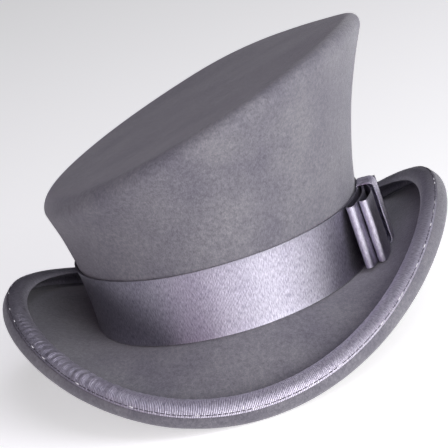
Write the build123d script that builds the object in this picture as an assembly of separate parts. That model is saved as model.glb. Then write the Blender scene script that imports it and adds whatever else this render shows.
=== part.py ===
from build123d import *
import math
import os

# A top hat with a slanted bell crown. Millimetres, +Z up, the wearer's face towards -Y and the
# wearer's left towards +X. The hat stands on the two dips of its brim, and the origin is at the
# bottom centre of its bounding box. Heights in the functions are measured from the break line,
# where the crown meets the brim, and LIFT raises the whole hat onto the ground.

# ---- head and felt ----
HEAD_LENGTH = 198.4        # inside the sweatband, front to back
HEAD_WIDTH = 169.8         # inside the sweatband, side to side
SWEATBAND_THICK = 1.2
FIT_GAP = 0.15             # between two pieces that lie on each other
FELT = 2.8
HALF_LENGTH = HEAD_LENGTH / 2 + SWEATBAND_THICK + FIT_GAP + FELT
HALF_WIDTH = HEAD_WIDTH / 2 + SWEATBAND_THICK + FIT_GAP + FELT

# ---- crown ----
CROWN_RISE = 120.7         # from the break line to the tip, on the hat's centre line
CROWN_SLANT = 0.293        # rise of the tip for each millimetre towards +X
CROWN_SHIFT = 9.3          # how far the tip is carried towards +X
SIDE_FLARE = 21.0          # how far the wall leans out at its top, at the sides
END_FLARE = 27.0           # the same at the front and back
BELL_POWER = 2.1           # 1 is a straight wall, more keeps the foot upright
TIP_RADIUS = 8.0           # rounding between the wall and the tip
EDGE_START = math.radians(-22)   # the wall's normal points this far down where the rounding starts

# ---- brim ----
SIDE_BRIM = 52.5           # from the break line to the seam line, level distance, at the sides
END_BRIM = 56.6            # the same at the front and back
RIM_MEAN = 4.4             # mean height of the seam line above the break line
RIM_SADDLE = 30.0          # rise at the sides and dip at the front and back
RIM_PITCH = 2.6            # the front lies lower than the back by twice this
BRIM_TWIST = math.radians(6.5)   # the saddle is turned this far about Z
SLOPE_MEAN = math.radians(-9)    # slope of the outer brim, mean and swing
SLOPE_SWING = math.radians(30)
FOOT_SLOPE_SHARE = 0.85    # slope at the break line as a share of the mean slope across the brim
CURL_RADIUS = 8.0          # outer radius of the curled edge
CURL_END = math.radians(125)     # where the felt ends, measured round the curl from level outward
SEAM_TURN = math.radians(48)     # where the binding is stitched on, measured the same way
BRIM_SHARES = [0.33, 0.67]       # rings of the flat of the brim, from the break line to the curl
FOOT_TURNS = [0.33, 0.67, 1]     # rings of the rounded corner under the break line

# ---- trim ----
BAND_HEIGHT = 43.4
BAND_THICK = 0.9
BAND_GAP = 0.25            # between the band and the felt
BAND_FOOT = 0.6            # height of the band's lower edge
BAND_RINGS = 5             # rings on each face of the band
BINDING_THICK = 0.7
BINDING_INNER_END = math.radians(-35)
WIRE_RADIUS = 0.8
THREAD_THICK = 0.5
STITCH_SETBACK = 1.2       # from the binding's outer edge to the line of thread
CORD_SIDES = 8             # sides of the wire and the reed

# ---- bow ----
BOW_ANGLE = math.radians(-3)     # centre of the bow round the crown, from +X towards the back
BOW_FOOT = 6.8             # height of the bow's lower edge at its middle
BOW_HEIGHT = 40.0
BOW_LEAN = 3.0             # the lower edge stands this much further out than the upper edge
BOW_RISE = 0.07            # rise of the bow for each millimetre towards the back
LOWER_LOOP_REACHES = [math.radians(23), math.radians(13)]   # round the oval from the middle of
UPPER_LOOP_REACHES = [math.radians(18.5), math.radians(10)] # the bow, to the front and the back
LOOP_PUFF = 4.0            # thickness of a loop where it is widest
LOOP_PINCH = 1.2           # thickness of a loop under the centre wrap
LOOP_NOSE = 0.2            # share of a loop's length over which its end is rounded
LOOP_FULL_SHARE = 0.6      # share of a loop's length over which it opens to its full thickness
LOOP_STEPS = 8
NOSE_TURNS = [35, 65, 90]  # degrees round the end of a loop
WRAP_REACH = math.radians(4.2)
WRAP_THICK = 0.8
WRAP_GAP = 0.4             # room for the loops' curve inside the straight sides of the wrap

# ---- inside ----
SWEATBAND_FOOT = 2.0
SWEATBAND_HEIGHT = 36.0
SWEATBAND_STITCH_RISE = 1.5   # from the sweatband's lower edge to its line of thread
REED_RADIUS = 0.8
LINING_FOOT_SHARE = 0.3    # where the lining starts, as a share of the wall height
LINING_THICK = 0.5
LINING_GAP = 0.45          # between the lining and the felt
BACK_BOW_LENGTH = 15.0
BACK_BOW_HEIGHT = 6.0
BACK_BOW_THICK = 1.6
BACK_BOW_SETBACK = 0.7     # room for the curve of the sweatband behind the flat bow
BACK_BOW_RISE = 6.0        # from the sweatband's lower edge

RING_POINTS = 24
WALL_SHARES = [0.8, 0.6, 0.45, 0.3, 0.2, 0.1, 0]   # rings of the crown's wall, from the top down
RIGHT_ANGLE = math.pi / 2


# ---- the formulas of the shape ----

def oval(angle, outward):
    """A point at a distance outward, along the normal, from the felt's oval at the break line."""
    across, along = math.cos(angle), math.sin(angle)
    normal_x, normal_y = across / HALF_WIDTH, along / HALF_LENGTH
    scale = outward / math.hypot(normal_x, normal_y)
    return HALF_WIDTH * across + normal_x * scale, HALF_LENGTH * along + normal_y * scale


def blend(angle, at_sides, at_ends):
    """A value that goes smoothly from the sides of the hat to its front and back."""
    return at_sides * math.cos(angle) ** 2 + at_ends * math.sin(angle) ** 2


def tip_plane(x):
    """Height of the tilted tip above the break line."""
    return CROWN_RISE + CROWN_SLANT * x


def wall_height(angle):
    """Height of the top of the crown's wall, where the rounding of the tip starts."""
    top_x = oval(angle, blend(angle, SIDE_FLARE, END_FLARE))[0] + CROWN_SHIFT
    return tip_plane(top_x) - TIP_RADIUS * (1 - math.sin(EDGE_START))


def wall_point(angle, share, inset):
    """A point of the crown's wall. share is 0 at the break line and 1 at the top of the wall."""
    bell = share ** BELL_POWER
    x, y = oval(angle, blend(angle, SIDE_FLARE, END_FLARE) * bell - inset)
    return x + CROWN_SHIFT * bell, y, share * wall_height(angle)


def wall_point_at(angle, height, inset):
    """A point of the crown's wall at a height above the break line."""
    return wall_point(angle, max(height, 0) / wall_height(angle), inset)[:2] + (height,)


def tip_edge_point(angle, turn, inset):
    """A point of the rounding between the wall and the tip, inset under the outer face."""
    radius = TIP_RADIUS - inset
    centre_out = blend(angle, SIDE_FLARE, END_FLARE) - TIP_RADIUS * math.cos(EDGE_START)
    x, y = oval(angle, centre_out + radius * math.cos(turn))
    x += CROWN_SHIFT
    return x, y, tip_plane(x) - TIP_RADIUS + radius * math.sin(turn)


def brim_slope(angle):
    return SLOPE_MEAN + SLOPE_SWING * math.cos(2 * (angle - BRIM_TWIST))


def rim_height(angle):
    """Height of the seam line above the break line."""
    saddle = RIM_SADDLE * math.cos(2 * (angle - BRIM_TWIST))
    return RIM_MEAN + saddle + RIM_PITCH * math.sin(angle)


def curl_section(angle, turn, radius):
    """Outward distance and height of a point of the curl, in the upright section at an angle."""
    slope = brim_slope(angle)
    seam = slope + SEAM_TURN
    centre_out = blend(angle, SIDE_BRIM, END_BRIM) - CURL_RADIUS * math.cos(seam)
    centre_up = rim_height(angle) - CURL_RADIUS * math.sin(seam)
    return (centre_out + radius * math.cos(turn + slope),
            centre_up + radius * math.sin(turn + slope))


def curl_point(angle, turn, radius):
    """A point of the curled edge. turn is 0 outward and a quarter turn upward from the brim."""
    outward, height = curl_section(angle, turn, radius)
    return oval(angle, outward) + (height,)


def brim_section(angle, share, depth):
    """Outward distance and height of a point of the flat of the brim, depth below its top."""
    end_out, end_up = curl_section(angle, -RIGHT_ANGLE, CURL_RADIUS - FELT)
    end_slope = math.tan(brim_slope(angle)) * end_out
    foot_slope = FOOT_SLOPE_SHARE * end_up
    cube, square = share ** 3, share ** 2
    height = ((cube - 2 * square + share) * foot_slope
              + (3 * square - 2 * cube) * end_up + (cube - square) * end_slope)
    rise = ((3 * square - 4 * share + 1) * foot_slope
            + (6 * share - 6 * square) * end_up + (3 * square - 2 * share) * end_slope)
    tilt = math.atan2(rise, end_out)
    return end_out * share + depth * math.sin(tilt), height - depth * math.cos(tilt)


def brim_point(angle, share, depth):
    outward, height = brim_section(angle, share, depth)
    return oval(angle, outward) + (height,)


def foot_point(angle, turn):
    """A point of the rounded corner under the break line, between the wall and the brim."""
    under_out, under_up = brim_section(angle, 0, FELT)
    last = math.atan2(under_up, under_out)
    bearing = -math.pi + turn * (last + math.pi)
    return oval(angle, FELT * math.cos(bearing)) + (FELT * math.sin(bearing),)


def angles(count):
    return [2 * math.pi * step / count for step in range(count)]


def steps(first, last, count):
    return [first + (last - first) * step / (count - 1) for step in range(count)]


CURL_TURNS = steps(-RIGHT_ANGLE, CURL_END, 9)

# The lowest point of the curl is the lowest point of the hat.
LIFT = -min(
    curl_section(angle, turn, CURL_RADIUS)[1]
    for angle in angles(360)
    for turn in CURL_TURNS
)


# ---- helpers that make solids ----

def raised(point):
    return Vector(point[0], point[1], point[2] + LIFT)


def ring(place):
    """A closed curve round the hat. place gives the point at an angle."""
    return Edge.make_spline([raised(place(angle)) for angle in angles(RING_POINTS)], periodic=True)


def skins(rings):
    """The ruled faces between each ring and the next."""
    return [Face.make_surface_from_curves(one, after) for one, after in zip(rings, rings[1:])]


def capped(rings):
    """A solid through a row of rings, closed by flat faces on the first and the last."""
    caps = [Face(Wire([rings[0]])), Face(Wire([rings[-1]]))]
    return Solid(Shell(skins(rings) + caps))


def hoop(rings):
    """A ring-shaped solid whose section is the polygon that the rings draw."""
    return Solid(Shell(skins(rings + rings[:1])))


def save(node, shape):
    export_step(shape, f"parts/{node}.step")


# ---- felt ----

def tip_edge_rings(turns, inset):
    return [ring(lambda angle, turn=turn: tip_edge_point(angle, turn, inset)) for turn in turns]


def wall_rings(shares, inset):
    return [ring(lambda angle, share=share: wall_point(angle, share, inset)) for share in shares]


def brim_rings(shares, depth):
    return [ring(lambda angle, share=share: brim_point(angle, share, depth)) for share in shares]


def curl_rings(turns, radius):
    return [ring(lambda angle, turn=turn: curl_point(angle, turn, radius)) for turn in turns]


def felt_body():
    """One felt, from the underside of the tip down, round the brim and back up the outside."""
    rounding = steps(RIGHT_ANGLE, EDGE_START, 5)
    rings = tip_edge_rings(rounding, FELT)
    rings += wall_rings(WALL_SHARES, FELT)
    rings += [ring(lambda angle, turn=turn: foot_point(angle, turn)) for turn in FOOT_TURNS]
    rings += brim_rings(BRIM_SHARES, FELT)
    rings += curl_rings(CURL_TURNS, CURL_RADIUS)
    rings += curl_rings(CURL_TURNS[::-1], CURL_RADIUS - FELT)
    rings += brim_rings(BRIM_SHARES[::-1], 0)
    rings += wall_rings(WALL_SHARES[::-1], 0)
    rings += tip_edge_rings(rounding[::-1], 0)
    return capped(rings)


# ---- outer trim ----

def hat_band():
    """A strip round the crown's wall, from just above the break line."""
    heights = steps(BAND_FOOT, BAND_FOOT + BAND_HEIGHT, BAND_RINGS)
    inner = [ring(lambda angle, height=height: wall_point_at(angle, height, -BAND_GAP))
             for height in heights]
    outer = [ring(lambda angle, height=height: wall_point_at(angle, height, -BAND_GAP - BAND_THICK))
             for height in heights[::-1]]
    return hoop(inner + outer)


def wire_turn():
    """Where the wire's centre lies round the curl, past the cut edge of the felt."""
    return CURL_END + (WIRE_RADIUS + FIT_GAP) / (CURL_RADIUS - FELT / 2)


def binding_end():
    """Where the inside of the binding's fold lies round the curl."""
    return CURL_END + 2 * (WIRE_RADIUS + FIT_GAP) / (CURL_RADIUS - FELT / 2)


def brim_binding():
    """Ribbon folded over the edge: up the outside of the curl, round the wire and down inside."""
    outside = CURL_RADIUS + FIT_GAP
    inside = CURL_RADIUS - FELT - FIT_GAP
    fold = BINDING_THICK / CURL_RADIUS
    rings = curl_rings(steps(SEAM_TURN, binding_end(), 6), outside)
    rings += curl_rings(steps(binding_end(), BINDING_INNER_END, 8), inside)
    rings += curl_rings(steps(BINDING_INNER_END, binding_end() + fold, 8), inside - BINDING_THICK)
    rings += curl_rings(steps(binding_end() + fold, SEAM_TURN, 6), outside + BINDING_THICK)
    return hoop(rings)


def brim_wire():
    """A round wire in the fold of the binding."""
    rings = []
    for corner in angles(CORD_SIDES):
        turn = wire_turn() + WIRE_RADIUS * math.cos(corner) / (CURL_RADIUS - FELT / 2)
        radius = CURL_RADIUS - FELT / 2 + WIRE_RADIUS * math.sin(corner)
        rings.append(ring(lambda angle, turn=turn, radius=radius: curl_point(angle, turn, radius)))
    return hoop(rings)


def binding_stitching():
    """The line of thread that stands on the binding just above its outer edge."""
    foot = CURL_RADIUS + BINDING_THICK + 2 * FIT_GAP
    line = SEAM_TURN + STITCH_SETBACK / CURL_RADIUS
    half = THREAD_THICK / 2 / CURL_RADIUS
    corners = [(line - half, foot), (line + half, foot),
               (line + half, foot + THREAD_THICK), (line - half, foot + THREAD_THICK)]
    return hoop([ring(lambda angle, turn=turn, radius=radius: curl_point(angle, turn, radius))
                 for turn, radius in corners])


# ---- bow ----

def loop_depth(share):
    """Thickness of a loop between its faces at a share of its length, without its nose."""
    return LOOP_PINCH + (LOOP_PUFF - LOOP_PINCH) * math.sin(RIGHT_ANGLE * min(1, share / LOOP_FULL_SHARE))


def nose_inset(share):
    """How much each face of a loop is drawn in by its rounded nose."""
    into_nose = max(0, share - 1 + LOOP_NOSE) / LOOP_NOSE
    return loop_depth(share) / 2 * (1 - math.sqrt(max(0, 1 - into_nose ** 2)))


def loop_shares():
    """Steps from the middle of a loop to its end, closer together round the nose."""
    straight = steps(0, 1 - LOOP_NOSE, LOOP_STEPS)
    nose = [1 - LOOP_NOSE * (1 - math.sin(math.radians(turn))) for turn in NOSE_TURNS]
    return straight + nose


def bow_level(outline, height, lean):
    """A closed level outline from points given as an angle round the oval and a distance out.

    The distance is measured from the face that the bow lies on, at the top of the hat band.
    """
    face = wall_point_at(BOW_ANGLE, BOW_FOOT + BOW_HEIGHT, 0)[0] - oval(BOW_ANGLE, 0)[0]
    face += BAND_GAP + BAND_THICK + WRAP_THICK + 2 * FIT_GAP + lean
    middle = oval(BOW_ANGLE, 0)[1]
    places = [oval(BOW_ANGLE + turn, face + out) for turn, out in outline]
    return [raised((x, y, height + BOW_RISE * (y - middle))) for x, y in places]


def bow_solid(outline, low, high):
    """A leaning solid between the lower and the upper edge of the bow's ribbon."""
    levels = [bow_level(outline, BOW_FOOT + low, BOW_LEAN), bow_level(outline, BOW_FOOT + high, 0)]
    return Solid.make_loft([Wire.make_polygon(points, close=True) for points in levels], ruled=True)


def loop_pair(reaches, backing):
    """Two flattened loops, one to the front and one to the back, as one closed solid.

    backing gives how far out the side nearer the crown lies, from the index of the loop and an
    angle from the middle.
    """
    def inner(side, share):
        loop = 0 if side < 0 else 1
        turn = reaches[loop] * share
        return side * turn, backing(loop, turn) + nose_inset(share)

    def outer(side, share):
        turn, out = inner(side, share)
        return turn, out + loop_depth(share) - 2 * nose_inset(share)

    shares = loop_shares()
    outline = [inner(-1, share) for share in shares[::-1]]
    outline += [inner(1, share) for share in shares[1:]]
    outline += [outer(1, share) for share in shares[-2::-1]]
    outline += [outer(-1, share) for share in shares[1:-1]]
    return bow_solid(outline, 0, BOW_HEIGHT)


def bow_lower_loops():
    return loop_pair(LOWER_LOOP_REACHES, lambda loop, turn: 0)


def bow_upper_loops():
    def backing(loop, turn):
        return loop_depth(turn / LOWER_LOOP_REACHES[loop]) + FIT_GAP
    return loop_pair(UPPER_LOOP_REACHES, backing)


def bow_centre_wrap():
    """A short ribbon round the middle of the bow, over both layers of loops."""
    deep = 2 * loop_depth(WRAP_REACH / UPPER_LOOP_REACHES[1]) + FIT_GAP
    inner = [(-WRAP_REACH, -FIT_GAP), (WRAP_REACH, -FIT_GAP),
             (WRAP_REACH, deep + WRAP_GAP), (-WRAP_REACH, deep + WRAP_GAP)]
    outer = [(turn, out + math.copysign(WRAP_THICK, out)) for turn, out in inner]
    whole = bow_solid(outer, -FIT_GAP - WRAP_THICK, BOW_HEIGHT + FIT_GAP + WRAP_THICK)
    return whole - bow_solid(inner, -FIT_GAP, BOW_HEIGHT + FIT_GAP)


# ---- inside ----

def sweatband():
    low, high = SWEATBAND_FOOT, SWEATBAND_FOOT + SWEATBAND_HEIGHT
    outer = -FELT - FIT_GAP
    inner = outer - SWEATBAND_THICK
    corners = [(outer, low), (outer, high), (inner, high), (inner, low)]
    return hoop([ring(lambda angle, out=out, height=height: oval(angle, out) + (height,))
                 for out, height in corners])


def sweatband_reed():
    centre = -FELT - FIT_GAP - REED_RADIUS
    height = SWEATBAND_FOOT - FIT_GAP - REED_RADIUS
    rings = []
    for corner in angles(CORD_SIDES):
        out = centre + REED_RADIUS * math.cos(corner)
        up = height + REED_RADIUS * math.sin(corner)
        rings.append(ring(lambda angle, out=out, up=up: oval(angle, out) + (up,)))
    return hoop(rings)


def sweatband_stitching():
    """The line of thread on the inner face of the sweatband."""
    face = -FELT - 2 * FIT_GAP - SWEATBAND_THICK
    height = SWEATBAND_FOOT + SWEATBAND_STITCH_RISE
    corners = [(face, height), (face, height + THREAD_THICK),
               (face - THREAD_THICK, height + THREAD_THICK), (face - THREAD_THICK, height)]
    return hoop([ring(lambda angle, out=out, up=up: oval(angle, out) + (up,))
                 for out, up in corners])


def sweatband_bow():
    """The small flat bow over the join of the sweatband, at the back of the head."""
    y = HEAD_LENGTH / 2 - BACK_BOW_SETBACK - BACK_BOW_THICK
    z = LIFT + SWEATBAND_FOOT + BACK_BOW_RISE
    box = Solid.make_box(BACK_BOW_LENGTH, BACK_BOW_THICK, BACK_BOW_HEIGHT)
    return box.moved(Location((-BACK_BOW_LENGTH / 2, y, z)))


def lining_side():
    """Lining round the crown, from behind the sweatband to the rounding of the tip."""
    face = FELT + LINING_GAP
    shares = [share for share in WALL_SHARES[::-1] if share >= LINING_FOOT_SHARE] + [1]
    outer = wall_rings(shares, face)
    inner = wall_rings(shares[::-1], face + LINING_THICK)
    return hoop(outer + inner)


def lining_tip():
    """An oval of lining under the tip."""
    def place(angle, drop):
        x, y, height = tip_edge_point(angle, RIGHT_ANGLE, FELT)
        return x, y, height - drop
    drops = (FIT_GAP, FIT_GAP + LINING_THICK)
    return capped([ring(lambda angle, drop=drop: place(angle, drop)) for drop in drops])


# ---- the hat ----

os.makedirs("parts", exist_ok=True)
save("felt_body", felt_body())
save("hat_band", hat_band())
save("brim_binding", brim_binding())
save("brim_wire", brim_wire())
save("binding_stitching", binding_stitching())
save("bow_lower_loops", bow_lower_loops())
save("bow_upper_loops", bow_upper_loops())
save("bow_centre_wrap", bow_centre_wrap())
save("sweatband", sweatband())
save("sweatband_reed", sweatband_reed())
save("sweatband_stitching", sweatband_stitching())
save("sweatband_bow", sweatband_bow())
save("lining_side", lining_side())
save("lining_tip", lining_tip())
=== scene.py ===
import math
import random

import bpy
from mathutils import Matrix, Vector, noise


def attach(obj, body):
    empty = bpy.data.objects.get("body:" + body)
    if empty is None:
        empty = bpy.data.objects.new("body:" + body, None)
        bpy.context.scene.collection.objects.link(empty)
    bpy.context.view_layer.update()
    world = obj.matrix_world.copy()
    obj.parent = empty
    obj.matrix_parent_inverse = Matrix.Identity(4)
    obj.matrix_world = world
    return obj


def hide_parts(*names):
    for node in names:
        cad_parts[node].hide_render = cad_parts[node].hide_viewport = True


# A felt top hat with a slanted bell crown, a satin band with a side bow, and a curled brim bound
# with ribbon. The shape formulas are the CAD part's, in millimetres with heights measured from
# the break line, and every mesh is written in metres in the CAD frame.

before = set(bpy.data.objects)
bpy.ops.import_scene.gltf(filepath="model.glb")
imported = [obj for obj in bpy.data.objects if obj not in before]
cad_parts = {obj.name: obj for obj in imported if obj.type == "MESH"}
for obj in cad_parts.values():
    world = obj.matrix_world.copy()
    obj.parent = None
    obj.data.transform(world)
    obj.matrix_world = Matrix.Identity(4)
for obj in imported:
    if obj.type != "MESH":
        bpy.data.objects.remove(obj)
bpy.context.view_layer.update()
random.seed(7)

MM = 0.001
RIGHT_ANGLE = math.pi / 2

# ---- sizes shared with the CAD part ----
HEAD_LENGTH = 198.4
HEAD_WIDTH = 169.8
SWEATBAND_THICK = 1.2
FIT_GAP = 0.15
FELT = 2.8
HALF_LENGTH = HEAD_LENGTH / 2 + SWEATBAND_THICK + FIT_GAP + FELT
HALF_WIDTH = HEAD_WIDTH / 2 + SWEATBAND_THICK + FIT_GAP + FELT
CROWN_RISE = 120.7
CROWN_SLANT = 0.293
CROWN_SHIFT = 9.3
SIDE_FLARE = 21.0
END_FLARE = 27.0
BELL_POWER = 2.1
TIP_RADIUS = 8.0
EDGE_START = math.radians(-22)
SIDE_BRIM = 52.5
END_BRIM = 56.6
RIM_MEAN = 4.4
RIM_SADDLE = 30.0
RIM_PITCH = 2.6
BRIM_TWIST = math.radians(6.5)
SLOPE_MEAN = math.radians(-9)
SLOPE_SWING = math.radians(30)
FOOT_SLOPE_SHARE = 0.85
CURL_RADIUS = 8.0
CURL_END = math.radians(125)
SEAM_TURN = math.radians(48)
BAND_HEIGHT = 43.4
BAND_THICK = 0.9
BAND_GAP = 0.25
BAND_FOOT = 0.6
BINDING_THICK = 0.7
BINDING_INNER_END = math.radians(-35)
WIRE_RADIUS = 0.8
STITCH_SETBACK = 1.2
BOW_ANGLE = math.radians(-3)
BOW_FOOT = 6.8
BOW_HEIGHT = 40.0
BOW_LEAN = 3.0
BOW_RISE = 0.07
LOOP_PINCH = 1.2
LOOP_FULL_SHARE = 0.6
WRAP_REACH = math.radians(4.2)
WRAP_THICK = 0.8
WRAP_GAP = 0.4
SWEATBAND_FOOT = 2.0
SWEATBAND_HEIGHT = 36.0
SWEATBAND_STITCH_RISE = 1.5
REED_RADIUS = 0.8
LINING_FOOT_SHARE = 0.3
LINING_THICK = 0.5
LINING_GAP = 0.45
BACK_BOW_LENGTH = 15.0
BACK_BOW_HEIGHT = 6.0
BACK_BOW_RISE = 6.0

# ---- sizes of the finished pieces ----
TIP_DROP = 7.0             # the soft edge of the tip, behind its high side
DROP_ANGLE = math.radians(35)    # where the tip sinks most, round the oval
DROP_REACH = math.radians(62)    # how far to each side of that it has levelled out
FLOOR_CLEARANCE = 0.02     # the felt's unevenness never takes it under the floor
LOOP_PUFF = 5.4            # thickness of a loop where it is widest, fuller than the CAD's solid
LOOP_NOSE = 0.075          # share of a loop's length that its rounded end takes, blunter than the CAD's
LOOP_RIBBON = 0.52         # thickness of the bow's ribbon
WRAP_ROUND = 1.6           # rounding of the centre ribbon on the side nearer the crown
WRAP_OUTER_ROUND = 2 * WRAP_ROUND
WRAP_WIDTH_SHARE = 0.85    # the finished centre ribbon is drawn in to this share of its width
WRAP_CROWN = 0.8           # how much the centre ribbon stands out along its middle
WRAP_WAIST = 0.16          # how much it narrows half way up
RIM_REACH = 1.4            # the rim's mean radius as a share of HALF_LENGTH
PUCKER_ANGLE = math.radians(228)   # the binding is eased most here, at the front on the right
PUCKER_SPREAD = math.radians(20)
PUCKER_FOLD = 0.8          # sets the distance between two folds
PUCKER_LEAST = 0.22        # height of the folds all round
PUCKER_EXTRA = 0.85        # and what is added where they are highest
FELT_LUMPS = ((0.22, 38, 3.1), (0.10, 11, 8.4))   # height, size and seed of the felt's unevenness
LOWER_REACHES = (math.radians(23), math.radians(13))   # to the front and to the back
UPPER_REACHES = (math.radians(18.5), math.radians(10))
BACK_DIP = 0.12            # fall of the back loops for each millimetre towards the back
ROUND = 288                # points round the hat in each ring


# ---- the formulas of the shape ----

def oval(angle, outward):
    across, along = math.cos(angle), math.sin(angle)
    normal_x, normal_y = across / HALF_WIDTH, along / HALF_LENGTH
    scale = outward / math.hypot(normal_x, normal_y)
    return HALF_WIDTH * across + normal_x * scale, HALF_LENGTH * along + normal_y * scale


def blend(angle, at_sides, at_ends):
    return at_sides * math.cos(angle) ** 2 + at_ends * math.sin(angle) ** 2


def tip_plane(x):
    return CROWN_RISE + CROWN_SLANT * x


def tip_drop(angle):
    """How far the edge of the tip sinks under its plane, behind the high side of the crown."""
    off = (angle - DROP_ANGLE + math.pi) % (2 * math.pi) - math.pi
    return TIP_DROP * math.cos(RIGHT_ANGLE * min(1, abs(off) / DROP_REACH)) ** 2


def wall_height(angle):
    top_x = oval(angle, blend(angle, SIDE_FLARE, END_FLARE))[0] + CROWN_SHIFT
    return tip_plane(top_x) - tip_drop(angle) - TIP_RADIUS * (1 - math.sin(EDGE_START))


def wall_point(angle, share, inset):
    bell = share ** BELL_POWER
    x, y = oval(angle, blend(angle, SIDE_FLARE, END_FLARE) * bell - inset)
    return x + CROWN_SHIFT * bell, y, share * wall_height(angle)


def wall_point_at(angle, height, inset):
    return wall_point(angle, max(height, 0) / wall_height(angle), inset)[:2] + (height,)


def tip_edge_point(angle, turn, inset):
    radius = TIP_RADIUS - inset
    centre_out = blend(angle, SIDE_FLARE, END_FLARE) - TIP_RADIUS * math.cos(EDGE_START)
    x, y = oval(angle, centre_out + radius * math.cos(turn))
    x += CROWN_SHIFT
    return x, y, tip_plane(x) - tip_drop(angle) - TIP_RADIUS + radius * math.sin(turn)


def brim_slope(angle):
    return SLOPE_MEAN + SLOPE_SWING * math.cos(2 * (angle - BRIM_TWIST))


def rim_height(angle):
    saddle = RIM_SADDLE * math.cos(2 * (angle - BRIM_TWIST))
    return RIM_MEAN + saddle + RIM_PITCH * math.sin(angle)


def curl_section(angle, turn, radius):
    slope = brim_slope(angle)
    seam = slope + SEAM_TURN
    centre_out = blend(angle, SIDE_BRIM, END_BRIM) - CURL_RADIUS * math.cos(seam)
    centre_up = rim_height(angle) - CURL_RADIUS * math.sin(seam)
    return (centre_out + radius * math.cos(turn + slope),
            centre_up + radius * math.sin(turn + slope))


def curl_point(angle, turn, radius):
    outward, height = curl_section(angle, turn, radius)
    return oval(angle, outward) + (height,)


def brim_section(angle, share, depth):
    end_out, end_up = curl_section(angle, -RIGHT_ANGLE, CURL_RADIUS - FELT)
    end_slope = math.tan(brim_slope(angle)) * end_out
    foot_slope = FOOT_SLOPE_SHARE * end_up
    cube, square = share ** 3, share ** 2
    height = ((cube - 2 * square + share) * foot_slope
              + (3 * square - 2 * cube) * end_up + (cube - square) * end_slope)
    rise = ((3 * square - 4 * share + 1) * foot_slope
            + (6 * share - 6 * square) * end_up + (3 * square - 2 * share) * end_slope)
    tilt = math.atan2(rise, end_out)
    return end_out * share + depth * math.sin(tilt), height - depth * math.cos(tilt)


def brim_point(angle, share, depth):
    outward, height = brim_section(angle, share, depth)
    return oval(angle, outward) + (height,)


def foot_point(angle, turn):
    under_out, under_up = brim_section(angle, 0, FELT)
    last = math.atan2(under_up, under_out)
    bearing = -math.pi + turn * (last + math.pi)
    return oval(angle, FELT * math.cos(bearing)) + (FELT * math.sin(bearing),)


def steps(first, last, count):
    return [first + (last - first) * step / (count - 1) for step in range(count)]


def smooth_step(value):
    value = min(1, max(0, value))
    return value * value * (3 - 2 * value)


# The lowest point of the curl is the lowest point of the hat and stands on the ground.
LIFT = -min(
    curl_section(2 * math.pi * step / 360, turn, CURL_RADIUS)[1]
    for step in range(360)
    for turn in steps(-RIGHT_ANGLE, CURL_END, 9)
)


def unevenness(point, size, seed):
    """Smooth noise from about -1 to 1 over lumps of a size in millimetres."""
    return noise.noise(Vector(point) / size + Vector((seed, 0, 0)))


# ---- meshes ----

def ring_points(place, count=ROUND):
    """The points of a closed curve round the hat. place gives the point at an angle."""
    return [place(2 * math.pi * step / count) for step in range(count)]


def length_of(points, closed=True):
    pairs = zip(points, points[1:] + points[:1] if closed else points[1:])
    return sum(math.dist(a, b) for a, b in pairs)


def grid_mesh(name, rings, hoop=False, capped=False, sharp=40):
    """A mesh through closed rings of points in millimetres from the break line.

    hoop joins the last ring to the first, and capped closes both ends with a fan. The UV map
    holds the distance along and across the rings in metres, so that a weave keeps its size.
    """
    count = len(rings[0])
    vertices = [Vector((x, y, z + LIFT)) * MM for ring in rings for x, y, z in ring]
    across = [0.0]
    for one, after in zip(rings, rings[1:] + rings[:1]):
        middle = count // 8
        across.append(across[-1] + math.dist(one[middle], after[middle]) * MM)
    along = length_of(rings[0]) * MM
    faces, corners = [], []
    rows = len(rings) if hoop else len(rings) - 1
    for row in range(rows):
        below, above = row * count, (row + 1) % len(rings) * count
        for step in range(count):
            after = (step + 1) % count
            faces.append((below + step, below + after, above + after, above + step))
            u0, u1 = along * step / count, along * (step + 1) / count
            corners += [(u0, across[row]), (u1, across[row]),
                        (u1, across[row + 1]), (u0, across[row + 1])]
    if capped:
        for first, flip in ((0, True), ((len(rings) - 1) * count, False)):
            centre = len(vertices)
            vertices.append(sum(vertices[first:first + count], Vector()) / count)
            for step in range(count):
                edge = [first + step, first + (step + 1) % count]
                faces.append(tuple(edge[::-1] + [centre]) if flip else tuple(edge + [centre]))
                corners += [(0, 0), (0, 0), (0, 0)]
    mesh = bpy.data.meshes.new(name)
    mesh.from_pydata(vertices, [], faces)
    layer = mesh.uv_layers.new(name="UVMap")
    for loop, corner in zip(layer.data, corners):
        loop.uv = corner
    finish_mesh(mesh, sharp)
    return bpy.data.objects.new(name, mesh)


def finish_mesh(mesh, sharp):
    """Turns the faces outward, shades them smooth and keeps edges above an angle sharp."""
    mesh.validate()
    mesh.update()
    volume = sum(
        mesh.vertices[face.vertices[0]].co.dot(
            mesh.vertices[face.vertices[1]].co.cross(mesh.vertices[face.vertices[-1]].co))
        + (mesh.vertices[face.vertices[1]].co.dot(
            mesh.vertices[face.vertices[2]].co.cross(mesh.vertices[face.vertices[3]].co))
           if len(face.vertices) == 4 else 0)
        for face in mesh.polygons)
    if volume < 0:
        mesh.flip_normals()
    for face in mesh.polygons:
        face.use_smooth = True
    mesh.set_sharp_from_angle(angle=math.radians(sharp))


def add_piece(piece, node, material):
    """Puts a piece in the scene in place of a CAD node, with its material."""
    bpy.context.scene.collection.objects.link(piece)
    piece.data.materials.append(material)
    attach(piece, "root")
    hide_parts(node)
    return piece


# ---- materials ----

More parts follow.
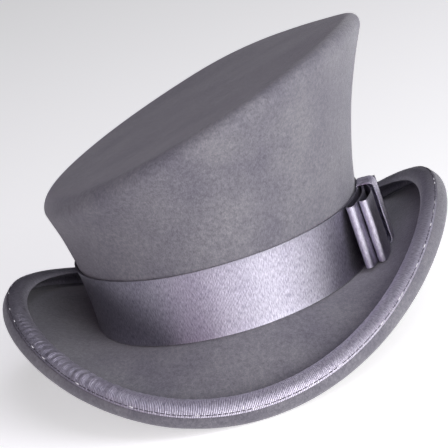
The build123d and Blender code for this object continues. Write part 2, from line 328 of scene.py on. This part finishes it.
class Shader:
    """A node material with short ways to add and join nodes."""

    def __init__(self, name):
        self.material = bpy.data.materials.new(name)
        self.material.use_nodes = True
        self.nodes = self.material.node_tree.nodes
        self.links = self.material.node_tree.links
        self.surface = self.nodes["Principled BSDF"]

    def add(self, kind, **settings):
        node = self.nodes.new(kind)
        for key, value in settings.items():
            setattr(node, key, value)
        return node

    def join(self, output, socket):
        self.links.new(output, socket)

    def set(self, **values):
        for key, value in values.items():
            self.surface.inputs[key.replace("_", " ")].default_value = value

    def place(self, kind, scale):
        """Object or UV coordinates, scaled separately along each axis."""
        source = self.add("ShaderNodeTexCoord")
        mapping = self.add("ShaderNodeMapping")
        mapping.inputs["Scale"].default_value = scale
        self.join(source.outputs[kind], mapping.inputs["Vector"])
        return mapping.outputs["Vector"]

    def noise(self, vector, scale, detail=3, rough=0.6):
        node = self.add("ShaderNodeTexNoise")
        node.inputs["Scale"].default_value = scale
        node.inputs["Detail"].default_value = detail
        node.inputs["Roughness"].default_value = rough
        self.join(vector, node.inputs["Vector"])
        return node.outputs["Fac"]

    def waves(self, vector, scale, distortion=0.0, detail_scale=1.0):
        """Parallel lines across the first axis of the vector."""
        node = self.add("ShaderNodeTexWave", wave_type="BANDS", bands_direction="X")
        node.inputs["Scale"].default_value = scale
        node.inputs["Distortion"].default_value = distortion
        node.inputs["Detail Scale"].default_value = detail_scale
        self.join(vector, node.inputs["Vector"])
        return node.outputs["Fac"]

    def ramp(self, value, *stops):
        node = self.add("ShaderNodeValToRGB")
        elements = node.color_ramp.elements
        while len(elements) < len(stops):
            elements.new(0.5)
        for element, (position, color) in zip(elements, stops):
            element.position = position
            element.color = (*color, 1)
        self.join(value, node.inputs["Fac"])
        return node.outputs["Color"]

    def mix(self, factor, a, b, blend_type="MIX"):
        node = self.add("ShaderNodeMix", data_type="RGBA", blend_type=blend_type)
        for socket, value in zip((node.inputs["Factor"], node.inputs[6], node.inputs[7]),
                                 (factor, a, b)):
            if isinstance(value, (int, float)):
                socket.default_value = value
            elif isinstance(value, tuple):
                socket.default_value = (*value, 1)
            else:
                self.join(value, socket)
        return node.outputs[2]

    def bump(self, *layers):
        """Bumps from (height, distance in metres, strength), the coarsest first."""
        normal = None
        for height, distance, strength in layers:
            node = self.add("ShaderNodeBump")
            node.inputs["Distance"].default_value = distance
            node.inputs["Strength"].default_value = strength
            self.join(height, node.inputs["Height"])
            if normal:
                self.join(normal, node.inputs["Normal"])
            normal = node.outputs["Normal"]
        self.join(normal, self.surface.inputs["Normal"])

    def color(self, output):
        self.join(output, self.surface.inputs["Base Color"])

    def roughness(self, value, low, high):
        node = self.add("ShaderNodeMapRange")
        node.inputs["To Min"].default_value = low
        node.inputs["To Max"].default_value = high
        self.join(value, node.inputs["Value"])
        self.join(node.outputs["Result"], self.surface.inputs["Roughness"])


def felt_material():
    """Brushed wool felt: cloudy tone, matted fibres and a soft nap."""
    felt = Shader("wool_felt")
    place = felt.place("Object", (1, 1, 1))
    clouds = felt.noise(place, 30, 3, 0.5)
    mottle = felt.noise(place, 420, 4, 0.65)
    fibres = felt.noise(felt.place("Object", (1, 1, 0.4)), 1500, 3, 0.75)
    tone = felt.ramp(clouds, (0.3, (0.116, 0.112, 0.135)), (0.7, (0.160, 0.157, 0.174)))
    tone = felt.mix(0.5, tone, felt.ramp(mottle, (0.3, (0.26, 0.26, 0.28)), (0.72, (0.72, 0.72, 0.70))),
                    "OVERLAY")
    tone = felt.mix(0.5, tone, felt.ramp(fibres, (0.35, (0.28, 0.28, 0.29)), (0.7, (0.72, 0.72, 0.71))),
                    "OVERLAY")
    felt.color(tone)
    felt.roughness(mottle, 0.82, 0.96)
    felt.bump((clouds, 0.0020, 0.2), (mottle, 0.0004, 0.5), (fibres, 0.0003, 0.5))
    felt.set(Specular_IOR_Level=0.25, Sheen_Weight=0.3, Sheen_Roughness=0.45,
             Sheen_Tint=(0.85, 0.85, 0.9, 1))
    return felt.material


def ribbon_material(name, dark, light, ribs_per_metre, metallic, rough, anisotropy, rib_depth):
    """Woven ribbon with ribs across its width and a directional gloss."""
    ribbon = Shader(name)
    place = ribbon.place("UV", (1, 1, 1))
    ribs = ribbon.waves(place, ribs_per_metre / 6.2832 * 2, 0.0)
    streaks = ribbon.noise(ribbon.place("UV", (1, 0.22, 1)), 1500, 3, 0.7)
    patches = ribbon.noise(place, 45, 3, 0.5)
    tone = ribbon.ramp(streaks, (0.3, dark), (0.7, light))
    tone = ribbon.mix(0.3, tone, ribbon.ramp(patches, (0.3, (0.4, 0.38, 0.42)), (0.7, (0.6, 0.6, 0.6))),
                      "OVERLAY")
    ribbon.color(tone)
    ribbon.roughness(streaks, rough - 0.05, rough + 0.07)
    ribbon.bump((ribs, rib_depth, 0.6), (streaks, 0.00014, 0.5))
    tangent = ribbon.add("ShaderNodeTangent", direction_type="UV_MAP", uv_map="UVMap")
    ribbon.join(tangent.outputs["Tangent"], ribbon.surface.inputs["Tangent"])
    ribbon.set(Metallic=metallic, Anisotropic=anisotropy, Anisotropic_Rotation=0.25,
               Specular_IOR_Level=0.6, Sheen_Weight=0.04, Sheen_Roughness=0.4)
    return ribbon.material


def thread_material(name, dark, light):
    """Twisted thread, with a tone of its own for each stitch. With the brim colours, the dark tone is
    painted shade of the sunk seam and the few light stitches are painted highlights.
    """
    thread = Shader(name)
    info = thread.add("ShaderNodeNewGeometry")
    place = thread.place("Object", (1, 1, 1))
    tone = thread.ramp(info.outputs["Random Per Island"], (0.0, dark), (0.86, dark), (0.93, light))
    fuzz = thread.noise(place, 2500, 3, 0.7)
    thread.color(thread.mix(0.4, tone, thread.ramp(fuzz, (0.3, (0.35,) * 3), (0.7, (0.65,) * 3)),
                            "OVERLAY"))
    thread.roughness(fuzz, 0.55, 0.8)
    thread.bump((fuzz, 0.0002, 0.5))
    return thread.material


def leather_material():
    leather = Shader("sweatband_leather")
    place = leather.place("Object", (1, 1, 1))
    pores = leather.add("ShaderNodeTexVoronoi", feature="SMOOTH_F1")
    pores.inputs["Scale"].default_value = 900
    leather.join(place, pores.inputs["Vector"])
    clouds = leather.noise(place, 60, 4, 0.6)
    creases = leather.noise(leather.place("Object", (1, 1, 0.3)), 500, 5, 0.7)
    tone = leather.ramp(clouds, (0.3, (0.040, 0.036, 0.036)), (0.7, (0.066, 0.060, 0.058)))
    leather.color(leather.mix(0.3, tone, leather.ramp(pores.outputs["Distance"],
                              (0.2, (0.3,) * 3), (0.8, (0.62,) * 3)), "OVERLAY"))
    leather.roughness(clouds, 0.42, 0.58)
    leather.bump((creases, 0.0004, 0.4), (pores.outputs["Distance"], 0.0003, 0.5))
    return leather.material


def cord_material(name, color):
    """A cord covered with a fine spiral of thread."""
    cord = Shader(name)
    wraps = cord.waves(cord.place("UV", (1, 0.4, 1)), 700)
    fuzz = cord.noise(cord.place("Object", (1, 1, 1)), 2000, 3, 0.6)
    lighter = tuple(1.7 * value for value in color)
    cord.color(cord.mix(0.25, cord.ramp(wraps, (0.2, color), (0.8, lighter)),
                        cord.ramp(fuzz, (0.3, (0.4,) * 3), (0.7, (0.6,) * 3)), "OVERLAY"))
    cord.roughness(fuzz, 0.6, 0.8)
    cord.bump((wraps, 0.0003, 0.5), (fuzz, 0.0001, 0.4))
    return cord.material


FELT_LOOK = felt_material()
BAND_LOOK = ribbon_material("satin_band", (0.23, 0.22, 0.29), (0.66, 0.64, 0.73),
                            1100, 0.96, 0.40, 0.93, 0.00010)
BINDING_LOOK = ribbon_material("ribbed_binding", (0.22, 0.21, 0.27), (0.62, 0.60, 0.68),
                               950, 0.8, 0.44, 0.6, 0.00030)
# The brim thread is painted near black as painted shade of the seam sunk under the binding's edge, and a
# few stitches are painted light as painted highlights.
SEAM_SHADE_THREAD_LOOK = thread_material("brim_thread_painted_shade", (0.045, 0.042, 0.055), (0.75, 0.75, 0.76))
INNER_THREAD_LOOK = thread_material("inner_thread", (0.30, 0.29, 0.30), (0.42, 0.41, 0.42))
LEATHER_LOOK = leather_material()
REED_LOOK = cord_material("reed_cover", (0.05, 0.05, 0.055))
WIRE_LOOK = cord_material("wire_cover", (0.06, 0.06, 0.06))
LINING_LOOK = ribbon_material("lining_satin", (0.10, 0.095, 0.12), (0.17, 0.165, 0.20),
                              1600, 0.45, 0.38, 0.5, 0.00008)


# ---- felt ----

def felt_tip_rings(turn, inset, inward):
    """Rings of the flat of the tip, drawn in from the rounding towards the middle."""
    edge = ring_points(lambda angle: tip_edge_point(angle, turn, inset))
    rings = []
    for share in inward:
        ring = []
        for step, (x, y, _) in enumerate(edge):
            near_x, near_y = CROWN_SHIFT + (x - CROWN_SHIFT) * share, y * share
            height = tip_plane(near_x) - inset - tip_drop(2 * math.pi * step / ROUND) * share ** 2
            ring.append((near_x, near_y, height - 0.9 * smooth_step((1 - share) / 0.4)))
        rings.append(ring)
    return rings


def felt_piece():
    rounding = steps(RIGHT_ANGLE, EDGE_START, 13)
    wall = steps(1, 0, 46)[1:]
    brim = steps(0, 1, 30)[1:]
    curl = steps(-RIGHT_ANGLE, CURL_END, 26)[1:]
    inward = steps(0.03, 0.97, 20)
    rings = felt_tip_rings(RIGHT_ANGLE, 0, inward)
    rings += [ring_points(lambda a, t=t: tip_edge_point(a, t, 0)) for t in rounding]
    rings += [ring_points(lambda a, s=s: wall_point(a, s, 0)) for s in wall]
    rings += [ring_points(lambda a, s=s: brim_point(a, s, 0)) for s in brim]
    rings += [ring_points(lambda a, t=t: curl_point(a, t, CURL_RADIUS - FELT)) for t in curl]
    rings += [ring_points(lambda a, t=t: curl_point(a, CURL_END + 0.06, t))
              for t in steps(CURL_RADIUS - FELT + 0.4, CURL_RADIUS - 0.4, 4)]
    rings += [ring_points(lambda a, t=t: curl_point(a, t, CURL_RADIUS)) for t in curl[::-1]]
    rings += [ring_points(lambda a, s=s: brim_point(a, s, FELT)) for s in steps(1, 0, 24)]
    rings += [ring_points(lambda a, t=t: foot_point(a, t)) for t in (0.75, 0.5, 0.25)]
    rings += [ring_points(lambda a, s=s: wall_point(a, s, FELT)) for s in steps(0, 1, 30)]
    rings += [ring_points(lambda a, t=t: tip_edge_point(a, t, FELT)) for t in rounding[::-1][1:]]
    rings += felt_tip_rings(RIGHT_ANGLE, FELT, inward[::-1])
    for ring in rings:
        for step, point in enumerate(ring):
            lump = sum(rise * unevenness(point, size, seed) for rise, size, seed in FELT_LUMPS)
            height = max(FLOOR_CLEARANCE - LIFT, point[2] + lump * 0.5)
            ring[step] = (point[0] + lump, point[1] + lump * 0.7, height)
    return grid_mesh("felt_hat_body", rings, capped=True, sharp=70)


# ---- ribbons on the outside ----

def band_piece():
    """The satin band, lying against the wall with its upper edge a little proud of it."""
    heights = steps(BAND_FOOT, BAND_FOOT + BAND_HEIGHT, 22)

    def face(height, depth):
        share = (height - BAND_FOOT) / BAND_HEIGHT
        lip = 0.35 * smooth_step((share - 0.93) / 0.07) + 0.25 * smooth_step((0.06 - share) / 0.06)

        def place(angle):
            x, y, z = wall_point_at(angle, height, 0)
            ease = 0.16 * unevenness((x, y, z), 26, 5.5) + 0.05 * unevenness((x, y, z), 7, 1.2)
            x, y, z = wall_point_at(angle, height, -depth - lip - 0.16 - ease)
            return x, y, z + 0.25 * unevenness((x, y, 0), 30, 9.0) * (2 * share - 1)
        return ring_points(place)

    inner = [face(height, BAND_GAP) for height in heights]
    outer = [face(height, BAND_GAP + BAND_THICK) for height in heights[::-1]]
    return grid_mesh("satin_hat_band", inner + outer, hoop=True)


def binding_end():
    return CURL_END + 2 * (WIRE_RADIUS + FIT_GAP) / (CURL_RADIUS - FELT / 2)


def pucker(angle, turn):
    """How far the binding stands off the felt where the ribbon is eased round the edge."""
    along = angle * HALF_LENGTH * RIM_REACH
    front_left = math.exp(-((angle - PUCKER_ANGLE) / PUCKER_SPREAD) ** 2)
    rise = smooth_step((turn - SEAM_TURN - 0.1) / 0.6)
    folds = 0.5 + 0.5 * math.sin(along / PUCKER_FOLD + 4.0 * noise.noise(Vector((along / 11, 0, 4))))
    broad = 0.7 + 0.5 * noise.noise(Vector((along / 9, 2.5, 0)))
    return rise * (PUCKER_LEAST + PUCKER_EXTRA * front_left) * broad * (0.3 + 0.7 * folds)


def binding_piece():
    """Ribbon folded over the edge, from the seam up the outside, over the wire and down inside."""
    outside = CURL_RADIUS + FIT_GAP
    inside = CURL_RADIUS - FELT - FIT_GAP
    end = binding_end()
    fold = BINDING_THICK / CURL_RADIUS
    rings = []

    def add(turn, radius, puckers, sign):
        def place(angle):
            stand_off = sign * pucker(angle, turn if sign > 0 else SEAM_TURN + 0.5) * puckers
            return curl_point(angle, turn, radius + stand_off)
        rings.append(ring_points(place, 900))

    for turn in steps(SEAM_TURN, end, 14):
        add(turn, outside, 0.6, 1)
    for turn in steps(end, BINDING_INNER_END, 12):
        add(turn, inside, 0.0, 1)
    for turn in steps(BINDING_INNER_END, end + fold, 12):
        add(turn, inside - BINDING_THICK, 0.5 * smooth_step((turn + 0.3) / 0.8), -1)
    for turn in steps(end + fold, SEAM_TURN, 14):
        add(turn, outside + BINDING_THICK, 1.0, 1)
    return grid_mesh("ribbon_brim_binding", rings, hoop=True)


def stitch_row(name, place, stitch, pitch, radius):
    """Single stitches along a closed line. place gives a point and the outward normal."""
    line = ring_points(lambda angle: place(angle)[0], 1440)
    total = length_of(line)
    count = round(total / pitch)
    vertices, faces = [], []
    sides, rows = 6, (0.0, 0.12, 0.5, 0.88, 1.0)
    thick = (0.35, 0.85, 1.0, 0.85, 0.35)
    reached, travelled = 0, 0.0
    for number in range(count):
        goal = total * number / count + random.uniform(-0.15, 0.15)
        while travelled < goal and reached < len(line) - 1:
            travelled += math.dist(line[reached], line[reached + 1])
            reached += 1
        angle = 2 * math.pi * reached / len(line)
        centre, normal = place(angle)
        ahead = Vector(place(angle + 0.004)[0]) - Vector(place(angle - 0.004)[0])
        ahead.normalize()
        normal = (normal - ahead * normal.dot(ahead)).normalized()
        side = ahead.cross(normal)
        tilt = random.uniform(-0.08, 0.08)
        ahead = (ahead + side * tilt).normalized()
        first = len(vertices)
        for along, width in zip(rows, thick):
            middle = Vector(centre) + ahead * stitch * (along - 0.5)
            middle += normal * radius * (0.3 - 0.9 * abs(2 * along - 1) ** 3)
            for corner in range(sides):
                turn = 2 * math.pi * corner / sides
                offset = side * math.cos(turn) + normal * math.sin(turn)
                vertices.append(middle + offset * radius * width)
        for row in range(len(rows) - 1):
            for corner in range(sides):
                after = (corner + 1) % sides
                low, high = first + row * sides, first + (row + 1) * sides
                faces.append((low + corner, low + after, high + after, high + corner))
        faces.append(tuple(first + corner for corner in reversed(range(sides))))
        faces.append(tuple(first + (len(rows) - 1) * sides + corner for corner in range(sides)))
    mesh = bpy.data.meshes.new(name)
    mesh.from_pydata([(v + Vector((0, 0, LIFT))) * MM for v in vertices], [], faces)
    mesh.validate()
    for face in mesh.polygons:
        face.use_smooth = True
    return bpy.data.objects.new(name, mesh)


def brim_stitches():
    turn = SEAM_TURN + STITCH_SETBACK / CURL_RADIUS
    face = CURL_RADIUS + FIT_GAP + BINDING_THICK

    def place(angle):
        low = Vector(curl_point(angle, turn, face))
        normal = (Vector(curl_point(angle, turn, face + 1)) - low).normalized()
        return tuple(low + normal * 0.12), normal
    return stitch_row("brim_binding_stitches", place, 3.0, 3.4, 0.26)


# ---- bow ----

def loop_depth(share):
    return LOOP_PINCH + (LOOP_PUFF - LOOP_PINCH) * math.sin(RIGHT_ANGLE * min(1, share / LOOP_FULL_SHARE))


def nose_inset(share):
    into_nose = max(0, share - 1 + LOOP_NOSE) / LOOP_NOSE
    return loop_depth(share) / 2 * (1 - math.sqrt(max(0, 1 - into_nose ** 2)))


def bow_plan(outline, lean):
    """Level points from angles round the oval and distances out from the face under the bow."""
    face = wall_point_at(BOW_ANGLE, BOW_FOOT + BOW_HEIGHT, 0)[0] - oval(BOW_ANGLE, 0)[0]
    face += BAND_GAP + BAND_THICK + WRAP_THICK + 2 * FIT_GAP + lean
    return [oval(BOW_ANGLE + turn, face + out) for turn, out in outline]


def loop_outline(reaches, backing):
    """The outline of two flattened loops. reaches are their lengths to the front and back."""
    straight = steps(0, 1 - LOOP_NOSE, 26)
    nose = [1 - LOOP_NOSE * (1 - math.sin(math.radians(turn))) for turn in range(15, 91, 15)]
    shares = straight + nose

    def inner(side, share):
        reach = reaches[side > 0]
        return side * reach * share, backing(side, share * reach) + nose_inset(share)

    def outer(side, share):
        turn, out = inner(side, share)
        return turn, out + loop_depth(share) - 2 * nose_inset(share)

    outline = [inner(-1, share) for share in shares[::-1]]
    outline += [inner(1, share) for share in shares[1:]]
    outline += [outer(1, share) for share in shares[-2::-1]]
    outline += [outer(-1, share) for share in shares[1:-1]]
    return outline


def inset_plan(points, depth):
    """A closed plan outline moved inward by a depth, along its own normals."""
    area = sum(a[0] * b[1] - b[0] * a[1] for a, b in zip(points, points[1:] + points[:1]))
    sign = math.copysign(1, area)
    moved = []
    for step, (x, y) in enumerate(points):
        before, after = points[step - 1], points[(step + 1) % len(points)]
        along = Vector((after[0] - before[0], after[1] - before[1])).normalized()
        moved.append((x - along.y * depth * sign, y + along.x * depth * sign))
    return moved


def bow_ribbon(name, outline, thick, low, high, seed, levels=14):
    """Ribbon standing on edge round a closed plan outline, open at its top and bottom."""
    middle = oval(BOW_ANGLE, 0)[1]

    def level(share, depth):
        height = BOW_FOOT + low + (high - low) * share
        plan = bow_plan(outline, BOW_LEAN * (1 - (height - BOW_FOOT) / BOW_HEIGHT))
        if depth:
            plan = inset_plan(plan, depth)
        ring = []
        for x, y in plan:
            sway = 0.22 * unevenness((0, y, height), 13, seed)
            slant = BOW_RISE * (y - middle) if y < middle else -BACK_DIP * (y - middle)
            ring.append((x + sway, y + 0.12 * unevenness((x, 0, height), 9, seed),
                         height + slant + 0.18 * unevenness((0, y, 0), 12, seed)))
        return ring

    shares = [0, 0.012] + steps(0.05, 0.95, levels) + [0.988, 1]
    outer = [level(share, 0.06 if share in (0, 1) else 0) for share in shares]
    inner = [level(share, thick - (0.06 if share in (0, 1) else 0)) for share in shares[::-1]]
    return grid_mesh(name, outer + inner, hoop=True)


LOWER_OUTLINE = loop_outline(LOWER_REACHES, lambda side, turn: 0)
UPPER_OUTLINE = loop_outline(
    UPPER_REACHES, lambda side, turn: loop_depth(turn / LOWER_REACHES[side > 0]) + FIT_GAP)
WRAP_DEEP = 2 * loop_depth(WRAP_REACH / UPPER_REACHES[1]) + FIT_GAP + WRAP_GAP


def bow_wrap():
    """The short ribbon that goes over the top and under the bottom of the bow's middle."""
    reach = WRAP_REACH * WRAP_WIDTH_SHARE
    middle = oval(BOW_ANGLE, 0)[1]
    low, high = -FIT_GAP - WRAP_THICK, BOW_HEIGHT + FIT_GAP + WRAP_THICK
    near, far = -FIT_GAP - WRAP_THICK, WRAP_DEEP + WRAP_THICK

    def section(grow):
        """The wrap's rounded outline seen from its end, as (out, height), drawn in by grow."""
        points = []
        for out, height, start in ((near + WRAP_ROUND, low + WRAP_ROUND, 180),
                                   (far - WRAP_OUTER_ROUND, low + WRAP_OUTER_ROUND, 270),
                                   (far - WRAP_OUTER_ROUND, high - WRAP_OUTER_ROUND, 0),
                                   (near + WRAP_ROUND, high - WRAP_ROUND, 90)):
            if start in (0, 180):
                side = far - grow if start == 0 else near + grow
                ends = (low + WRAP_OUTER_ROUND, high - WRAP_OUTER_ROUND)
                run = steps(0.06, 0.94, 12) if start == 0 else steps(0.94, 0.06, 12)
                straight = [(side, ends[0] + (ends[1] - ends[0]) * share) for share in run]
                points += straight
            radius = (WRAP_OUTER_ROUND if start in (0, 270) else WRAP_ROUND) - grow
            for turn in steps(start, start + 90, 6):
                a = math.radians(turn)
                points.append((out + radius * math.cos(a), height + radius * math.sin(a)))
        return points

    def ring(turn_share, grow):
        crown = WRAP_CROWN * (math.cos(RIGHT_ANGLE * turn_share) - 1)
        points = []
        for out, height in section(grow):
            level = BOW_FOOT + height
            lean = BOW_LEAN * (1 - height / BOW_HEIGHT)
            in_front = smooth_step(out / WRAP_DEEP)
            waist = 1 - WRAP_WAIST * math.cos(math.pi * (height / BOW_HEIGHT - 0.5)) * in_front
            x, y = bow_plan([(reach * turn_share * waist, out + crown * in_front - 0.1)], lean)[0]
            gather = 0.3 * unevenness((y, height / 6, 0), 2.2, 6.6) * in_front
            points.append((x + gather, y, level + BOW_RISE * (y - middle)))
        return points

    outer = [ring(share, 0.0) for share in steps(-1, 1, 15)]
    inner = [ring(share, WRAP_THICK * 0.8) for share in steps(1, -1, 15)]
    return grid_mesh("bow_centre_knot", outer + inner, hoop=True)


# ---- inside ----

def band_ring_piece(name, sections, count=ROUND, wobble=0.0):
    """A hoop round the head whose section is a list of (outward, height)."""
    def place(outward, height):
        def at(angle):
            x, y = oval(angle, outward)
            ease = wobble * unevenness((x, y, height), 24, 2.2)
            x, y = oval(angle, outward - abs(ease))
            return x, y, height
        return ring_points(at, count)
    return grid_mesh(name, [place(*section) for section in sections], hoop=True)


def sweatband_piece():
    outer = -FELT - FIT_GAP
    inner = outer - SWEATBAND_THICK
    low, high = SWEATBAND_FOOT, SWEATBAND_FOOT + SWEATBAND_HEIGHT
    heights = [low + 0.3] + steps(low + 1, high - 1, 14) + [high - 0.3]
    sections = [(outer, height) for height in heights]
    sections += [(outer - 0.3, high), (inner + 0.3, high)]
    sections += [(inner, height) for height in heights[::-1]]
    sections += [(inner + 0.3, low), (outer - 0.3, low)]
    return band_ring_piece("leather_sweatband", sections, wobble=0.18)


def reed_piece():
    centre = -FELT - FIT_GAP - REED_RADIUS
    height = SWEATBAND_FOOT - FIT_GAP - REED_RADIUS
    sections = [(centre + REED_RADIUS * math.cos(turn), height + REED_RADIUS * math.sin(turn))
                for turn in steps(0, 2 * math.pi, 13)[:-1]]
    return band_ring_piece("sweatband_reed_cord", sections)


def sweatband_stitches():
    face = -FELT - FIT_GAP - SWEATBAND_THICK - 0.12
    height = SWEATBAND_FOOT + SWEATBAND_STITCH_RISE

    def place(angle):
        x, y = oval(angle, face)
        inner_x, inner_y = oval(angle, face - 1)
        return (x, y, height), Vector((inner_x - x, inner_y - y, 0)).normalized()
    return stitch_row("sweatband_stitch_row", place, 2.2, 3.2, 0.24)


def back_bow_piece():
    """The small flat bow over the join of the sweatband: a waisted ribbon and its knot."""
    y = HEAD_LENGTH / 2 - 1.6
    z = SWEATBAND_FOOT + BACK_BOW_RISE + BACK_BOW_HEIGHT / 2
    half = BACK_BOW_LENGTH / 2
    rings = []
    for share in steps(-1, 1, 41):
        waist = 0.42 + 0.58 * smooth_step(abs(share) / 0.55)
        knot = math.exp(-(share / 0.13) ** 6)
        tall = BACK_BOW_HEIGHT / 2 * (waist * (1 - knot) + 0.55 * knot)
        tall *= 1 - 0.06 * smooth_step((abs(share) - 0.9) / 0.1)
        deep = 0.45 + 0.25 * math.sin(math.pi * min(1, abs(share))) + 0.3 * knot
        ring = []
        for turn in steps(0, 2 * math.pi, 25)[:-1]:
            across, out = math.cos(turn), math.sin(turn)
            fold = 0.12 * math.sin(9 * across + 2) * (1 - knot) * (1 - abs(share) * 0.6)
            ring.append((share * half, y + deep * out + fold, z + tall * across))
        rings.append(ring)
    return grid_mesh("sweatband_back_bow", rings, capped=True, sharp=60)


def lining_side_piece():
    """The crown lining, eased into soft upright gathers towards the tip."""
    shares = steps(LINING_FOOT_SHARE, 1, 26)

    def gathers(angle, share):
        along = angle * 70
        fold = 0.5 + 0.5 * math.sin(along * 1.1 + 2.5 * noise.noise(Vector((along / 7, 1, 0))))
        uneven = 0.6 + 0.4 * noise.noise(Vector((along / 5, 0, 7)))
        return 1.3 * fold * smooth_step((share - 0.35) / 0.65) * uneven

    def face(share, depth):
        return ring_points(lambda angle: wall_point(angle, share, depth + gathers(angle, share)), 720)

    outer = [face(share, FELT + LINING_GAP) for share in shares]
    inner = [face(share, FELT + LINING_GAP + LINING_THICK) for share in shares[::-1]]
    return grid_mesh("crown_side_lining", outer + inner, hoop=True)


def lining_tip_piece():
    """The oval of lining under the tip, sagging a little in its middle."""
    edge = ring_points(lambda angle: tip_edge_point(angle, RIGHT_ANGLE, FELT))

    def disc(shares, drop):
        rings = []
        for share in shares:
            ring = []
            for step, (x, y, _) in enumerate(edge):
                near_x, near_y = CROWN_SHIFT + (x - CROWN_SHIFT) * share, y * share
                sag = 1.8 * (1 - share ** 2) + 0.25 * unevenness((near_x, near_y, 0), 22, 4.4) * (1 - share)
                under = FELT + 1.0 * (1 - share) + tip_drop(2 * math.pi * step / ROUND) * share ** 2
                ring.append((near_x, near_y, tip_plane(near_x) - under - drop - abs(sag)))
            rings.append(ring)
        return rings
    upper = disc(steps(0.03, 1, 18), FIT_GAP)
    lower = disc(steps(1, 0.03, 18), FIT_GAP + LINING_THICK)
    return grid_mesh("crown_tip_lining", upper + lower, capped=True)


# ---- the hat ----

add_piece(felt_piece(), "felt_body", FELT_LOOK)
band = add_piece(band_piece(), "hat_band", BAND_LOOK)
binding = add_piece(binding_piece(), "brim_binding", BINDING_LOOK)
brim_thread_painted_shade = add_piece(brim_stitches(), "binding_stitching", SEAM_SHADE_THREAD_LOOK)
lower_loops = add_piece(bow_ribbon("bow_long_loops", LOWER_OUTLINE, LOOP_RIBBON, 0, BOW_HEIGHT, 1.7),
                        "bow_lower_loops", BAND_LOOK)
upper_loops = add_piece(bow_ribbon("bow_short_loops", UPPER_OUTLINE, LOOP_RIBBON, 0, BOW_HEIGHT, 4.3),
                        "bow_upper_loops", BAND_LOOK)
knot = add_piece(bow_wrap(), "bow_centre_wrap", BAND_LOOK)
leather = add_piece(sweatband_piece(), "sweatband", LEATHER_LOOK)
add_piece(reed_piece(), "sweatband_reed", REED_LOOK)
inner_thread = add_piece(sweatband_stitches(), "sweatband_stitching", INNER_THREAD_LOOK)
back_bow = add_piece(back_bow_piece(), "sweatband_bow", LINING_LOOK)
side_lining = add_piece(lining_side_piece(), "lining_side", LINING_LOOK)
tip_lining = add_piece(lining_tip_piece(), "lining_tip", LINING_LOOK)

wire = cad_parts["brim_wire"]
wire.data.materials.clear()
wire.data.materials.append(WIRE_LOOK)


def hoop_length(place):
    return length_of(ring_points(place)) * MM


band_round = hoop_length(lambda angle: wall_point_at(angle, BAND_HEIGHT / 2, -BAND_GAP))
rim_round = hoop_length(lambda angle: curl_point(angle, binding_end(), CURL_RADIUS - FELT / 2))
head_round = hoop_length(lambda angle: oval(angle, -FELT) + (0,))
lining_round = hoop_length(lambda angle: wall_point(angle, 0.65, FELT))


def outline_length(outline):
    return length_of([(x, y, 0) for x, y in bow_plan(outline, 0)]) * MM


outline_length(LOWER_OUTLINE)
outline_length(UPPER_OUTLINE)


# ---- floor, light and camera ----

def floor():
    mesh = bpy.data.meshes.new("studio_floor")
    half = 6.0
    mesh.from_pydata([(-half, -half, 0), (half, -half, 0), (half, half, 0), (-half, half, 0)],
                     [], [(0, 1, 2, 3)])
    ground = bpy.data.objects.new("studio_floor", mesh)
    bpy.context.scene.collection.objects.link(ground)
    pale = Shader("pale_floor")
    pale.set(Base_Color=(0.93, 0.93, 0.93, 1), Roughness=0.9, Specular_IOR_Level=0.1,
             Emission_Color=(1, 1, 1, 1), Emission_Strength=0.5)
    mesh.materials.append(pale.material)


def soft_light(name, azimuth, elevation, distance, size, power, color):
    """An area light aimed at the crown. Azimuth 0 is in front of the hat and 90 at its +X side."""
    data = bpy.data.lights.new(name, "AREA")
    data.shape = "RECTANGLE"
    data.size, data.size_y = size
    data.energy = power
    data.color = color
    lamp = bpy.data.objects.new(name, data)
    a, e = math.radians(azimuth), math.radians(elevation)
    away = Vector((math.sin(a) * math.cos(e), -math.cos(a) * math.cos(e), math.sin(e)))
    lamp.location = Vector((0, 0, 0.09)) + away * distance
    lamp.rotation_mode = "QUATERNION"
    lamp.rotation_quaternion = away.to_track_quat("Z", "Y")
    bpy.context.scene.collection.objects.link(lamp)


def world_light(strength, color):
    world = bpy.data.worlds.new("studio")
    world.use_nodes = True
    background = world.node_tree.nodes["Background"]
    background.inputs["Color"].default_value = (*color, 1)
    background.inputs["Strength"].default_value = strength
    bpy.context.scene.world = world


def camera(azimuth, elevation, roll, distance, lens, aim):
    """A camera turned about its own axis by roll, looking at a point of the hat."""
    data = bpy.data.cameras.new("camera")
    data.lens = lens
    data.sensor_width = 36.0
    data.clip_start, data.clip_end = 0.05, 50
    eye = bpy.data.objects.new("camera", data)
    a, e, r = (math.radians(value) for value in (azimuth, elevation, roll))
    back = Vector((math.sin(a) * math.cos(e), -math.cos(a) * math.cos(e), math.sin(e)))
    right = Vector((0, 0, 1)).cross(back).normalized()
    up = back.cross(right)
    turned_right = right * math.cos(r) + up * math.sin(r)
    turned_up = up * math.cos(r) - right * math.sin(r)
    eye.matrix_world = Matrix.Translation(aim + back * distance) @ Matrix(
        (turned_right, turned_up, back)).transposed().to_4x4()
    bpy.context.scene.collection.objects.link(eye)
    bpy.context.scene.camera = eye


floor()
soft_light("key", 47, 12, 1.5, (2.3, 0.75), 33, (1.0, 0.99, 0.97))
soft_light("mauve_fill", -14, 12, 1.6, (0.8, 0.8), 3.6, (1.0, 0.72, 0.96))
soft_light("top", 48, 55, 4.6, (3.2, 3.2), 88, (0.90, 0.88, 1.0))
world_light(0.02, (0.88, 0.85, 1.0))
bpy.context.scene.view_settings.view_transform = "Standard"
camera(8.32, 14.22, -15.81, 1.1, 137.7, Vector((4.09, 0.60, 77.2)) * MM)
